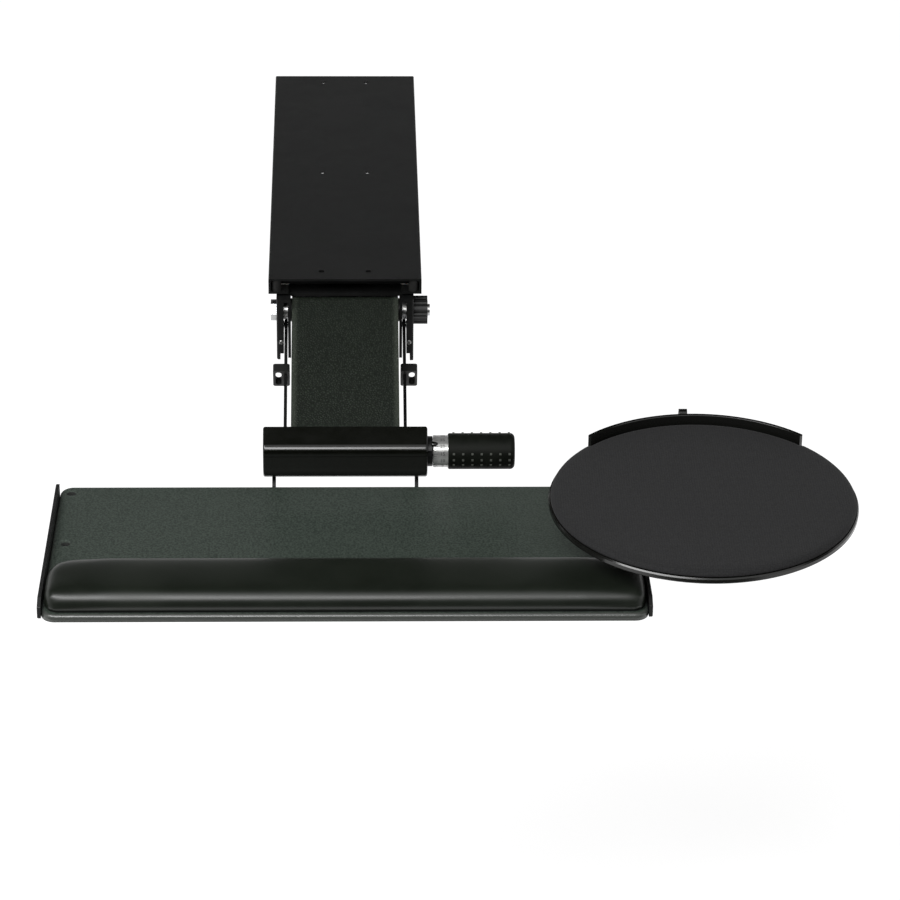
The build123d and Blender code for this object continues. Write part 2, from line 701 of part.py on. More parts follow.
# Tilt bracket: ears on the barrel drop behind the board and fold forward into a plate under it.
ear_outer = ear_inner + ear_steel
ear_radius = 12.0
gusset_depth = 9.0
tilt_plate_front = board_rear - tilt_plate_depth
with BuildPart() as tilt_bracket:
    for x in (-ear_outer, ear_inner):
        with BuildSketch(side_plane(x)):
            with BuildLine():
                Polyline((head_y - 9, head_z - 7.9), (head_y + 2.5, head_z - head_drop),
                         (board_rear + 4, board_bottom + 3), (board_rear + 3, board_bottom),
                         (tilt_plate_front, board_bottom), (tilt_plate_front, board_bottom - ear_steel),
                         (board_rear + 8, board_bottom - gusset_depth), (head_y + ear_radius, board_bottom + 4),
                         (head_y + ear_radius, head_z), close=True)
            make_face()
            with Locations((head_y, head_z)):
                Circle(ear_radius)
        extrude(amount=ear_steel)
    with BuildSketch(Plane.XY.offset(board_bottom - ear_steel)):
        with Locations((0, (board_rear + 3 + tilt_plate_front) / 2)):
            Rectangle(2 * ear_outer, board_rear + 3 - tilt_plate_front)
        with Locations((0, tilt_plate_front + tilt_plate_depth / 2)):
            SlotOverall(70, 30, mode=Mode.SUBTRACT)
    extrude(amount=ear_steel)
    with BuildSketch(head_plane(-ear_outer)):
        Circle(barrel_radius)
    extrude(amount=2 * ear_outer, mode=Mode.SUBTRACT)
    board_screw_places = [(x * 45, y) for x in (-1, 1) for y in (tilt_plate_front + 10, board_rear - 16)]
    with Locations(*[(x, y, board_bottom) for x, y in board_screw_places]):
        Hole(2.2)
save(tilt_bracket, "tilt_bracket")

# Board: a flat tray a little narrower at the back, with rounded corners and a pair of countersunk holes near
# each side edge.
hole_places = [(side * mouse_hole_x, y) for side in (-1, 1)
               for y in (mouse_hole_y, mouse_hole_y - mouse_hole_spacing)]
with BuildPart() as tray_board:
    with BuildSketch(Plane.XY.offset(board_bottom)) as outline:
        with BuildLine():
            Polyline((-board_half, board_front), (board_half, board_front), (board_half - board_taper, board_rear),
                     (board_taper - board_half, board_rear), close=True)
        make_face()
        fillet(outline.vertices(), board_corner)
    extrude(amount=board_steel)
    fillet(tray_board.edges().group_by(Axis.Z)[-1], board_edge_round)
    with Locations(*[(x, y, board_top) for x, y in hole_places]):
        CounterSinkHole(mouse_hole_radius, 2 * mouse_hole_radius)
    with Locations(*[Location((x, y, board_bottom), (180, 0, 0)) for x, y in board_screw_places]):
        Hole(1.8, depth=4.5)
save(tray_board, "tray_board")

with BuildPart() as board_screws:
    for x, y in board_screw_places:
        with BuildSketch(Plane.XY.offset(board_bottom - ear_steel)):
            with Locations((x, y)):
                Circle(4)
        extrude(amount=-2)
        with BuildSketch(Plane.XY.offset(board_bottom - ear_steel)):
            with Locations((x, y)):
                Circle(1.8)
        extrude(amount=ear_steel + 4.3)
save(board_screws, "board_screws")

# Side rails: flat strips on the board's side edges that stand above it and keep what lies on it in place.
side_angle = math.atan(board_taper / board_depth)
rail_rear = (board_depth - rail_rear_gap) / math.cos(side_angle)
rail_front = rail_front_gap
rail_top = board_bottom + rail_height
rail_planes = {side: Plane(origin=(side * board_half, board_front, 0),
                           x_dir=(-side * math.sin(side_angle), math.cos(side_angle), 0),
                           z_dir=(math.cos(side_angle), side * math.sin(side_angle), 0)) for side in (-1, 1)}
for name, side in (("left_rail", -1), ("right_rail", 1)):
    with BuildPart() as rail:
        with BuildSketch(rail_planes[side]) as strip:
            with BuildLine():
                Polyline((rail_rear, board_bottom), (rail_rear, rail_top), (rail_front + 9, rail_top),
                         (rail_front, rail_top - 5), (rail_front, board_bottom), close=True)
            make_face()
            fillet(strip.vertices().group_by(Axis.Z)[-1], 1.5)
        extrude(amount=side * rail_steel)
        chamfer(rail.faces().sort_by(SortBy.AREA)[-2:].sort_by(Axis.X)[0 if side < 0 else -1].edges(), 0.6)
    save(rail, name)

with BuildPart() as rail_screws:
    for side in (-1, 1):
        for along in (rail_rear - 20, (rail_rear + rail_front) / 2, rail_front + 20):
            with BuildSketch(rail_planes[side].offset(side * rail_steel)):
                with Locations((along, board_bottom + board_steel / 2)):
                    Circle(2.8)
            extrude(amount=side * 1.1)
save(rail_screws, "rail_screws")

# Palm rest: a gel pad with a big round nose, a gently crowned top and drawn-in ends, on a narrower stiff base.
pad_front = board_front + pad_front_gap
pad_rear = pad_front + pad_depth
pad_half = board_half - pad_side_gap
with BuildSketch() as pad_plan:
    with Locations((0, (pad_front + pad_rear) / 2)):
        Rectangle(2 * pad_half, pad_depth)
    fillet(pad_plan.vertices().group_by(Axis.Y)[0], pad_corner)
    fillet(pad_plan.vertices().group_by(Axis.Y)[-1], pad_rear_corner)

with BuildPart() as palm_rest_base:
    with BuildSketch(Plane.XY.offset(board_top)):
        offset(pad_plan.sketch, amount=-pad_base_inset)
    extrude(amount=pad_base)
save(palm_rest_base, "palm_rest_base")

pad_bottom = board_top + pad_base
pad_rise = pad_height - pad_base
with BuildPart() as palm_rest:
    with BuildSketch(side_plane(-pad_half, pad_front, pad_bottom)):
        with BuildLine():
            Line((0.6, 0), (0.2, 3))
            ThreePointArc((0.2, 3), (3.6, pad_rise - 4.2), (12.5, pad_rise - 0.6))
            ThreePointArc((12.5, pad_rise - 0.6), (pad_depth / 2, pad_rise), (pad_depth - 6, pad_rise - 0.8))
            ThreePointArc((pad_depth - 6, pad_rise - 0.8), (pad_depth - 1.6, pad_rise - 3),
                          (pad_depth - 0.4, pad_rise - 7))
            Line((pad_depth - 0.4, pad_rise - 7), (pad_depth - 0.8, 0))
            Line((pad_depth - 0.8, 0), (0.6, 0))
        make_face()
    extrude(amount=2 * pad_half)
    with BuildSketch(Plane.XY.offset(pad_bottom)):
        add(pad_plan.sketch)
    extrude(amount=pad_rise + 2, mode=Mode.INTERSECT)
    with BuildSketch(Plane.XZ.offset(-pad_rear)):
        with Locations((0, pad_bottom)):
            RectangleRounded(2 * pad_half, 2 * pad_rise + 0.6, pad_end_round)
    extrude(amount=pad_depth, mode=Mode.INTERSECT)
save(palm_rest, "palm_rest")

# Support rail: a small lipped channel under the board's right side, held by two countersunk screws.
with BuildPart() as mouse_rail:
    with BuildSketch(Plane.XZ.offset(-channel_rear)):
        with Locations((channel_x, board_bottom - mouse_rail_height / 2)):
            Rectangle(mouse_rail_width, mouse_rail_height)
            Rectangle(mouse_rail_width - 2 * mouse_rail_steel, mouse_rail_height - 2 * mouse_rail_steel,
                      mode=Mode.SUBTRACT)
        with Locations((channel_x, channel_z + mouse_rail_steel / 2)):
            Rectangle(mouse_slot, mouse_rail_steel, mode=Mode.SUBTRACT)
    extrude(amount=mouse_rail_length)
    with Locations(*[(channel_x, y, board_bottom) for y in (mouse_hole_y, mouse_hole_y - mouse_hole_spacing)]):
        Hole(mouse_hole_radius, depth=mouse_rail_steel + 1)
save(mouse_rail, "mouse_rail")

sink_depth = 2.6
with BuildPart() as mouse_rail_screws:
    for y in (mouse_hole_y, mouse_hole_y - mouse_hole_spacing):
        with Locations((channel_x, y, board_top - 0.3 - sink_depth / 2)):
            Cone(mouse_hole_radius - 0.2, 2 * mouse_hole_radius - 0.6, sink_depth)
        with BuildSketch(Plane.XY.offset(board_bottom - mouse_rail_steel - 0.8)):
            with Locations((channel_x, y)):
                Circle(mouse_hole_radius - 0.2)
        extrude(amount=board_steel + mouse_rail_steel)
save(mouse_rail_screws, "mouse_rail_screws")

# Carrier: a guided block in the rail and a flat outrigger that carries the post.
inner_half = mouse_rail_width / 2 - mouse_rail_steel - slide_gap
with BuildPart() as mouse_carrier:
    with BuildSketch(Plane.XY.offset(channel_z + mouse_rail_steel + slide_gap)):
        with Locations((channel_x, slide_center)):
            Rectangle(2 * inner_half, slide_length)
    extrude(amount=mouse_rail_height - 2 * mouse_rail_steel - 2 * slide_gap)
    with BuildSketch(Plane.XY.offset(channel_z + mouse_rail_steel + slide_gap + 3.5)):
        with Locations((channel_x, slide_center)):
            Rectangle(2 * inner_half - 9, slide_length)
    extrude(amount=mouse_rail_height, mode=Mode.SUBTRACT)
    with BuildSketch(Plane.XY.offset(outrigger_top)):
        with Locations((channel_x, slide_center)):
            Rectangle(mouse_slot - 2 * slide_gap, slide_length)
    extrude(amount=mouse_rail_steel + 2 * slide_gap + 0.5)
    with BuildSketch(Plane.XY.offset(outrigger_top - outrigger_steel)):
        with BuildLine():
            Polyline((channel_x - 13, slide_center - slide_length / 2), (channel_x - 13, slide_center + slide_length / 2),
                     (post_x - 12, post_y + 14), (post_x + 14, post_y + 14), (post_x + 14, post_y - 14),
                     (channel_x + 18, slide_center - slide_length / 2), close=True)
        make_face()
    extrude(amount=outrigger_steel)
    fillet(mouse_carrier.edges().filter_by(Axis.Z).group_by(Axis.X)[-1], 10)
save(mouse_carrier, "mouse_carrier")

# Post: a fixed sleeve on the outrigger and a sliding inner post, clamped by a knob.
with BuildPart() as post_sleeve:
    with BuildSketch(Plane.XY.offset(outrigger_top)):
        with Locations((post_x, post_y)):
            Circle(post_radius)
            Circle(post_bore, mode=Mode.SUBTRACT)
    extrude(amount=post_top - outrigger_top)
    with BuildSketch(side_plane(post_x, post_y, (post_top + outrigger_top) / 2)):
        Circle(2.6)
    extrude(amount=post_radius + 2, mode=Mode.SUBTRACT)
save(post_sleeve, "post_sleeve")

post_inner_bottom = outrigger_top + 10.5
with BuildPart() as mouse_post:
    with BuildSketch(Plane.XY.offset(post_inner_bottom)):
        with Locations((post_x, post_y)):
            Circle(post_inner_radius)
    extrude(amount=mouse_arm_top - mouse_arm_steel - 0.2 - post_inner_bottom)
    with BuildSketch(Plane.XY.offset(mouse_arm_top - mouse_arm_steel - 0.2)):
        with Locations((post_x, post_y)):
            Circle(4)
    extrude(amount=mouse_arm_steel + 1.6)
    with BuildSketch(Plane.XY.offset(mouse_arm_top + 0.2)):
        with Locations((post_x, post_y)):
            Circle(7)
    extrude(amount=2.2)
    chamfer(mouse_post.edges().group_by(Axis.Z)[-1], 0.8)
save(mouse_post, "mouse_post")

knob_z = (post_top + outrigger_top) / 2
with BuildPart() as height_knob:
    with BuildSketch(side_plane(post_x + post_inner_radius + 0.4, post_y, knob_z)):
        Circle(2.5)
    extrude(amount=8)
    with BuildSketch(side_plane(post_x + post_radius + 1.5, post_y, knob_z)):
        Circle(8)
        with PolarLocations(8.4, 6):
            Circle(1.8, mode=Mode.SUBTRACT)
    extrude(amount=11)
    chamfer(height_knob.faces().sort_by(Axis.X)[-1].edges(), 1)
save(height_knob, "height_knob")

slide_knob_top = outrigger_top - outrigger_steel - 0.4
with BuildPart() as slide_knob:
    with BuildSketch(Plane.XY.offset(slide_knob_top)):
        with Locations((channel_x, slide_center)):
            Circle(10)
            with PolarLocations(10.4, 6):
                Circle(2.2, mode=Mode.SUBTRACT)
    extrude(amount=-10)
    chamfer(slide_knob.faces().sort_by(Axis.Z)[0].edges(), 1)
save(slide_knob, "slide_knob")

# Platform arm: a flat bar from the post to the platform's hinge, with a raised hinge block.
hub_angle = math.degrees(math.atan2(disc_y - post_y, disc_x - post_x))
hub_reach = math.hypot(disc_x - post_x, disc_y - post_y)
hinge_half = 16.0
with BuildPart() as mouse_arm:
    with BuildSketch(Plane.XY.offset(mouse_arm_top - mouse_arm_steel)):
        with Locations(Location(((post_x + disc_x) / 2, (post_y + disc_y) / 2), hub_angle)):
            SlotCenterToCenter(hub_reach, mouse_arm_width)
        with Locations((post_x, post_y)):
            Circle(4 + fit, mode=Mode.SUBTRACT)
    extrude(amount=mouse_arm_steel)
    with BuildSketch(side_plane(disc_x - hinge_half / 2, disc_y)):
        with Locations((0, (mouse_arm_top + hinge_z) / 2)):
            Rectangle(8, hinge_z - mouse_arm_top)
        with Locations((0, hinge_z)):
            Circle(4)
            Circle(hinge_radius - 1 + fit, mode=Mode.SUBTRACT)
    extrude(amount=hinge_half)
save(mouse_arm, "mouse_arm")

# Platform hinge: two lugs under the platform and the pin through them.
with BuildPart() as platform_bracket:
    with BuildSketch(Plane.XY.offset(disc_bottom - 2)):
        with Locations((disc_x, disc_y)):
            RectangleRounded(60, 34, 5)
    extrude(amount=2)
    for x in (disc_x - hinge_half / 2 - 3.4, disc_x + hinge_half / 2 + 0.4):
        with BuildSketch(side_plane(x, disc_y)):
            with Locations((0, (disc_bottom - 2 + hinge_z) / 2)):
                Rectangle(9, disc_bottom - 2 - hinge_z)
            with Locations((0, hinge_z)):
                Circle(4.5)
                Circle(hinge_radius - 1, mode=Mode.SUBTRACT)
        extrude(amount=3)
save(platform_bracket, "platform_bracket")

with BuildPart() as hinge_pin:
    with BuildSketch(side_plane(disc_x - hinge_half / 2 - 4.6, disc_y, hinge_z)):
        Circle(hinge_radius - 1)
    extrude(amount=hinge_half + 9.2)
save(hinge_pin, "hinge_pin")

# Platform: a round base with a thin proud rim, and a fence along its rear edge with a groove in its top.
fence_top = disc_bottom + disc_plate + fence_height
with BuildPart() as mouse_platform:
    with BuildSketch(Plane.XY.offset(disc_bottom)):
        with Locations((disc_x, disc_y)):
            Circle(disc_radius)
    extrude(amount=disc_plate)
    chamfer(mouse_platform.faces().filter_by(Axis.Z).edges(), 1)
    with BuildSketch(Plane.XY.offset(disc_bottom + 1)):
        with Locations((disc_x, disc_y)):
            Circle(disc_radius)
            Circle(disc_radius - fence_wall, mode=Mode.SUBTRACT)
        with BuildLine(mode=Mode.PRIVATE) as wedge:
            reach = 2 * disc_radius
            spread = math.radians(fence_angle)
            Polyline((disc_x, disc_y),
                     (disc_x - reach * math.sin(spread), disc_y + reach * math.cos(spread)),
                     (disc_x + reach * math.sin(spread), disc_y + reach * math.cos(spread)), close=True)
        make_face(wedge.edges(), mode=Mode.INTERSECT)
    extrude(amount=fence_top - disc_bottom - 1)
    chamfer(mouse_platform.faces().sort_by(Axis.Z)[-1].edges(), fence_wall / 6)
    with BuildSketch(Plane.XY.offset(fence_top)):
        with Locations((disc_x, disc_y)):
            Circle(disc_radius - (fence_wall - fence_groove) / 2)
            Circle(disc_radius - (fence_wall + fence_groove) / 2, mode=Mode.SUBTRACT)
    extrude(amount=-fence_groove, mode=Mode.SUBTRACT)
save(mouse_platform, "mouse_platform")

pad_radius = disc_radius - disc_lip
notch_radius = disc_radius - fence_wall - 0.4
with BuildPart() as mouse_pad:
    with BuildSketch(Plane.XY.offset(disc_bottom + disc_plate)) as cloth:
        with Locations((disc_x, disc_y)):
            Circle(pad_radius)
        with BuildSketch(mode=Mode.PRIVATE) as notch:
            with Locations((disc_x, disc_y)):
                Circle(pad_radius + 2)
                Circle(notch_radius, mode=Mode.SUBTRACT)
            with BuildLine(mode=Mode.PRIVATE) as wide_wedge:
                spread = math.radians(fence_angle + 1.5)
                Polyline((disc_x, disc_y),
                         (disc_x - reach * math.sin(spread), disc_y + reach * math.cos(spread)),
                         (disc_x + reach * math.sin(spread), disc_y + reach * math.cos(spread)), close=True)
            make_face(wide_wedge.edges(), mode=Mode.INTERSECT)
        add(notch.sketch, mode=Mode.SUBTRACT)
    extrude(amount=mouse_pad_height)
    chamfer(mouse_pad.faces().sort_by(Axis.Z)[-1].edges(), 1.4)
save(mouse_pad, "mouse_pad")

# Rear clip: a small hooked loop on the back of the fence.
rear_clip_x = disc_x - disc_radius * math.sin(math.radians(clip_angle))
rear_clip_y = disc_y + disc_radius * math.cos(math.radians(clip_angle)) + 0.2
with BuildPart() as cord_clip:
    with BuildSketch(side_plane(rear_clip_x - rear_clip_width / 2, rear_clip_y, fence_top - 3)):
        with BuildLine():
            Polyline((0, -6), (0, 0.5))
            ThreePointArc((0, 0.5), (4.2, 4.6), (8.2, 0.5))
            Polyline((8.2, 0.5), (8.2, -6), (6.4, -6), (6.4, 0.3))
            ThreePointArc((6.4, 0.3), (4.2, 2.8), (1.9, 0.3))
            Polyline((1.9, 0.3), (1.9, -6), (0, -6))
        make_face()
    extrude(amount=rear_clip_width)
save(cord_clip, "cord_clip")
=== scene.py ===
import math
import bmesh
import bpy
from mathutils import Matrix, Vector


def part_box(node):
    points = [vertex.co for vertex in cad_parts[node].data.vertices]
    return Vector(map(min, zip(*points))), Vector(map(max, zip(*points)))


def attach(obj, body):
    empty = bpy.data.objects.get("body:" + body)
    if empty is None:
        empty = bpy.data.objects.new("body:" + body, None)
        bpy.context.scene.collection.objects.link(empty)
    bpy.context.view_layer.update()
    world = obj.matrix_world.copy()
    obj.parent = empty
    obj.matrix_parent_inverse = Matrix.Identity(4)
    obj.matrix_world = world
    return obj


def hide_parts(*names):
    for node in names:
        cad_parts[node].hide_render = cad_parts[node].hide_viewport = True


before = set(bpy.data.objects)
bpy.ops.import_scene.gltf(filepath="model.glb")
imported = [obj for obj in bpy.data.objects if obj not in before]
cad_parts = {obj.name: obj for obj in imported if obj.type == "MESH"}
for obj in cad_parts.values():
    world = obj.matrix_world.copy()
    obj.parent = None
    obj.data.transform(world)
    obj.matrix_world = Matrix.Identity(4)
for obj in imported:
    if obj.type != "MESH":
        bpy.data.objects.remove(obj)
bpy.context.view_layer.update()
scene = bpy.context.scene
scene.view_settings.view_transform = "Standard"

# Camera
# A long lens looks down on the tray from the front, a little to its left. It has a small roll and no
# shift.
pitch, yaw, roll = math.radians(28.7), math.radians(1.68), math.radians(0.7)
forward = Vector((math.sin(yaw) * math.cos(pitch), math.cos(yaw) * math.cos(pitch), -math.sin(pitch)))
level = Vector((math.cos(yaw), -math.sin(yaw), 0.0))
upright = level.cross(forward)
camera_x = level * math.cos(roll) + upright * math.sin(roll)
camera_y = upright * math.cos(roll) - level * math.sin(roll)
camera = bpy.data.objects.new("camera", bpy.data.cameras.new("camera"))
camera.data.lens = 160.0
camera.data.sensor_width = 36.0
camera.data.clip_end = 60.0
camera.matrix_world = Matrix.Translation((0.0015, -3.0904, 1.5026)) @ Matrix(
    (camera_x, camera_y, -forward)).transposed().to_4x4()
scene.collection.objects.link(camera)
scene.camera = camera


# Studio
# A pale floor well below the tray, an even white room, one wide soft lamp above, in front and to the left,
# and dark cards before, behind and above, so that black stays black and polished metal gets its bands.
# The floor is clear from below, so that the undersides can be looked at.
def place(tree, kind, inputs=None, **settings):
    made = tree.nodes.new("ShaderNode" + kind)
    for name, value in settings.items():
        setattr(made, name, value)
    for name, value in (inputs or {}).items():
        if isinstance(value, bpy.types.NodeSocket):
            tree.links.new(value, made.inputs[name])
        else:
            made.inputs[name].default_value = value
    return made


def seen_by_eye(tree):
    rays = place(tree, "LightPath")
    straight = place(tree, "Math", {0: rays.outputs["Is Camera Ray"], 1: rays.outputs["Is Glossy Ray"]},
                     operation="MAXIMUM")
    return place(tree, "Math", {0: straight.outputs[0], 1: rays.outputs["Is Transmission Ray"]},
                 operation="MAXIMUM").outputs[0]


def flat_sheet(name, centre, across, along, normal):
    turn = Vector(normal).to_track_quat("Z", "Y").to_matrix().to_4x4()
    mesh = bpy.data.meshes.new(name)
    mesh.from_pydata([(-across / 2, -along / 2, 0), (across / 2, -along / 2, 0),
                      (across / 2, along / 2, 0), (-across / 2, along / 2, 0)], [], [(0, 1, 2, 3)])
    sheet = bpy.data.objects.new(name, mesh)
    sheet.matrix_world = Matrix.Translation(centre) @ turn
    scene.collection.objects.link(sheet)
    return sheet


floor_level = -0.62
floor = flat_sheet("floor", (0.0, 1.0, floor_level), 16.0, 16.0, (0, 0, 1))
floor_paper = bpy.data.materials.new("floor_paper")
floor_paper.use_nodes = True
tree = floor_paper.node_tree
tree.nodes.clear()
paper = place(tree, "BsdfDiffuse", {"Color": (0.55, 0.55, 0.55, 1.0)})
glow = place(tree, "Emission", {"Color": (1.0, 1.0, 1.0, 1.0), "Strength": 0.72})
lifted = place(tree, "AddShader", {0: paper.outputs[0], 1: glow.outputs[0]})
plain = place(tree, "BsdfDiffuse", {"Color": (0.7, 0.7, 0.7, 1.0)})
from_above = place(tree, "MixShader", {0: seen_by_eye(tree), 1: plain.outputs[0], 2: lifted.outputs[0]})
from_below = place(tree, "BsdfTransparent")
one_way = place(tree, "MixShader", {0: place(tree, "NewGeometry").outputs["Backfacing"],
                                    1: from_above.outputs[0], 2: from_below.outputs[0]})
place(tree, "OutputMaterial", {"Surface": one_way.outputs[0]})
floor.data.materials.append(floor_paper)

room = bpy.data.worlds.new("room")
room.use_nodes = True
room.node_tree.nodes.clear()
tree = room.node_tree
bright = place(tree, "MapRange", {"Value": seen_by_eye(tree), "To Min": 0.42, "To Max": 1.0})
air = place(tree, "Background", {"Color": (1.0, 1.0, 1.0, 1.0), "Strength": bright.outputs[0]})
place(tree, "OutputWorld", {"Surface": air.outputs[0]})
scene.world = room

softbox = bpy.data.objects.new("softbox", bpy.data.lights.new("softbox", "AREA"))
softbox.data.shape = "RECTANGLE"
softbox.data.size, softbox.data.size_y = 2.2, 0.8
softbox.data.energy = 56.0
softbox.location = (-0.75, -1.5, 1.70)
softbox.rotation_euler = (Vector((0.1, -0.3, -0.1)) - softbox.location).to_track_quat("-Z", "Y").to_euler()
scene.collection.objects.link(softbox)

card_black = bpy.data.materials.new("card_black")
card_black.use_nodes = True
card_black.node_tree.nodes.clear()
felt = place(card_black.node_tree, "BsdfDiffuse", {"Color": (0.004, 0.004, 0.004, 1.0)})
place(card_black.node_tree, "OutputMaterial", {"Surface": felt.outputs[0]})
card_width, on_floor = 14.0, floor_level + 0.02
for name, centre, along, facing in (("card_front", (0.0, -5.2, 1.0), 3.2, (0, 1, 0)),
                                    ("card_fore", (0.0, -3.15, on_floor), 4.1, (0, 0, 1)),
                                    ("card_aft", (0.0, 3.05, on_floor), 4.3, (0, 0, 1)),
                                    ("card_rear", (0.0, 5.2, 2.4), 2.0, (0, -1, 0)),
                                    ("card_over", (0.0, 2.2, 3.4), 6.0, (0, 0, -1))):
    card = flat_sheet(name, centre, card_width, along, facing)
    card.data.materials.append(card_black)
    card.visible_camera = False
    card.visible_diffuse = False
    card.visible_shadow = False


# Track, stops, carriage and swivel
# A folded steel channel with four rubber stops carries a steel plate on nylon glides. A bolt through the
# plate, a black spacer, washers and a lock nut make the swivel. The channel and the plate are powder
# coated, and the bolt, washers and nut are zinc plated.
def effect(name, inputs, outputs):
    group = bpy.data.node_groups.new(name, "ShaderNodeTree")
    for label, value in inputs.items():
        group.interface.new_socket(label, in_out="INPUT", socket_type="NodeSocketFloat").default_value = value
    for label in outputs:
        group.interface.new_socket(label, in_out="OUTPUT", socket_type="NodeSocketFloat")
    return group, group.nodes.new("NodeGroupInput"), group.nodes.new("NodeGroupOutput")


# Fine moulded or sprayed surface: small even bumps, and a broad drift in how it was touched.
speckle, given, sent = effect("speckle", {"Grain": 1500.0, "Drift": 14.0, "Wander": 0.35},
                              ("Height", "Patch"))
spot = place(speckle, "TexCoord").outputs["Object"]
bumps = place(speckle, "TexNoise", {"Vector": spot, "Scale": given.outputs["Grain"], "Detail": 2.0,
                                    "Roughness": 0.55})
broad = place(speckle, "TexNoise", {"Vector": spot, "Scale": given.outputs["Drift"], "Detail": 4.0,
                                    "Roughness": 0.6, "Distortion": given.outputs["Wander"]})
patch = place(speckle, "MapRange", {"Value": broad.outputs[0], "From Min": 0.36, "From Max": 0.66})
speckle.links.new(bumps.outputs[0], sent.inputs["Height"])
speckle.links.new(patch.outputs[0], sent.inputs["Patch"])


def start_finish(name):
    material = bpy.data.materials.new(name)
    material.use_nodes = True
    material.node_tree.nodes.clear()
    return material, material.node_tree


def from_group(tree, group, **values):
    made = tree.nodes.new("ShaderNodeGroup")
    made.node_tree = group
    for label, value in values.items():
        made.inputs[label].default_value = value
    return made


def blend(tree, mask, base, over):
    return place(tree, "Mix", {0: mask, 6: base, 7: over}, data_type="RGBA").outputs[2]


def two_tone(tree, mask, dark, light):
    return blend(tree, mask, (*dark, 1.0), (*light, 1.0))


def spread(tree, mask, low, high):
    return place(tree, "MapRange", {"Value": mask, "To Min": low, "To Max": high}).outputs[0]


def surface(tree, color, roughness, height=None, depth=0.0001, strength=1.0, **plain_inputs):
    inputs = {"Base Color": color, "Roughness": roughness}
    if height is not None:
        inputs["Normal"] = place(tree, "Bump", {"Height": height, "Distance": depth,
                                                "Strength": strength}).outputs[0]
    shader = place(tree, "BsdfPrincipled", inputs)
    for label, value in plain_inputs.items():
        shader.inputs[label.replace("_", " ")].default_value = value
    place(tree, "OutputMaterial", {"Surface": shader.outputs[0]})


def finish(material, *names):
    for name in names:
        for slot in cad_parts[name].material_slots:
            slot.material = material


powder_coat, tree = start_finish("powder_coat")
peel = from_group(tree, speckle, Grain=1100.0, Drift=18.0)
surface(tree, two_tone(tree, peel.outputs["Patch"], (0.0044, 0.0046, 0.0045), (0.0078, 0.0081, 0.0080)),
        spread(tree, peel.outputs["Patch"], 0.40, 0.52), peel.outputs["Height"], 0.00012, 0.35,
        Specular_IOR_Level=0.22)

zinc_plate, tree = start_finish("zinc_plate")
bloom = from_group(tree, speckle, Grain=5200.0, Drift=60.0, Wander=1.5)
surface(tree, two_tone(tree, bloom.outputs["Patch"], (0.42, 0.43, 0.45), (0.60, 0.60, 0.58)),
        spread(tree, bloom.outputs["Patch"], 0.26, 0.42), bloom.outputs["Height"], 0.00003, 0.4, Metallic=1.0)

stop_rubber, tree = start_finish("stop_rubber")
dust = from_group(tree, speckle, Grain=2600.0, Drift=90.0)
surface(tree, two_tone(tree, dust.outputs["Patch"], (0.008, 0.008, 0.008), (0.016, 0.016, 0.015)),
        spread(tree, dust.outputs["Patch"], 0.62, 0.78), dust.outputs["Height"], 0.00006, 0.5,
        Specular_IOR_Level=0.2)

glide_nylon, tree = start_finish("glide_nylon")
haze = from_group(tree, speckle, Grain=900.0, Drift=120.0)
surface(tree, two_tone(tree, haze.outputs["Patch"], (0.58, 0.57, 0.52), (0.70, 0.69, 0.64)),
        spread(tree, haze.outputs["Patch"], 0.34, 0.5), haze.outputs["Height"], 0.00004, 0.3,
        Subsurface_Weight=0.08, Subsurface_Scale=0.002)

finish(powder_coat, "track", "carriage_plate", "swivel_spacer")
finish(stop_rubber, "track_stops")
finish(glide_nylon, "carriage_glides")
finish(zinc_plate, "swivel_bolt", "swivel_washers", "swivel_nut")

# Swivel bracket
# Two cheeks and a back folded from one steel blank and powder coated, with a small domed rivet on each
# front flange. The upper pins of the side links are pressed into the cheeks.
finish(powder_coat, "swivel_bracket")
finish(zinc_plate, "upper_link_pins")

rivet_black, tree = start_finish("rivet_black")
wear_and_sheen = from_group(tree, speckle, Grain=1800.0, Drift=240.0)
surface(tree, two_tone(tree, wear_and_sheen.outputs["Patch"], (0.12, 0.12, 0.12), (0.26, 0.26, 0.25)),
        spread(tree, wear_and_sheen.outputs["Patch"], 0.16, 0.26), wear_and_sheen.outputs["Height"], 0.00003, 0.4, Metallic=0.8)
finish(rivet_black, "bracket_rivets")

# Lift axis
# A long zinc-plated bolt goes through both cheeks, spacer tubes and black fibre brake washers. A moulded
# ribbed nut at the right draws them up, which sets how stiffly the arm lifts.
moulded_black, tree = start_finish("moulded_black")
mould = from_group(tree, speckle, Grain=2100.0, Drift=26.0)
surface(tree, two_tone(tree, mould.outputs["Patch"], (0.0068, 0.0070, 0.0068), (0.0110, 0.0114, 0.0110)),
        spread(tree, mould.outputs["Patch"], 0.40, 0.52), mould.outputs["Height"], 0.00005, 0.45,
        Specular_IOR_Level=0.3)
finish(zinc_plate, "pivot_bolt", "pivot_spacers")
finish(moulded_black, "brake_washers", "tension_nut")

# Arm
# A folded steel channel under a moulded cover. The cover's skin has a leather-like grain of small rounded
# cells, and is painted paler along its two long edges as a highlight on their rounding.
hide_grain, given, sent = effect("hide_grain", {"Cells": 900.0, "Crease": 0.14}, ("Height", "Crown"))
spot = place(hide_grain, "TexCoord").outputs["Object"]
sway = place(hide_grain, "TexNoise", {"Vector": spot, "Scale": 420.0, "Detail": 2.0})
shift = place(hide_grain, "VectorMath", {0: sway.outputs["Color"], 1: (0.0011, 0.0011, 0.0011)},
              operation="MULTIPLY")
bent = place(hide_grain, "VectorMath", {0: spot, 1: shift.outputs[0]}, operation="ADD")
cells = place(hide_grain, "TexVoronoi", {"Vector": bent.outputs[0], "Scale": given.outputs["Cells"]},
              feature="DISTANCE_TO_EDGE")
crown = place(hide_grain, "MapRange", {"Value": cells.outputs["Distance"],
                                       "From Max": given.outputs["Crease"]}, interpolation_type="SMOOTHSTEP")
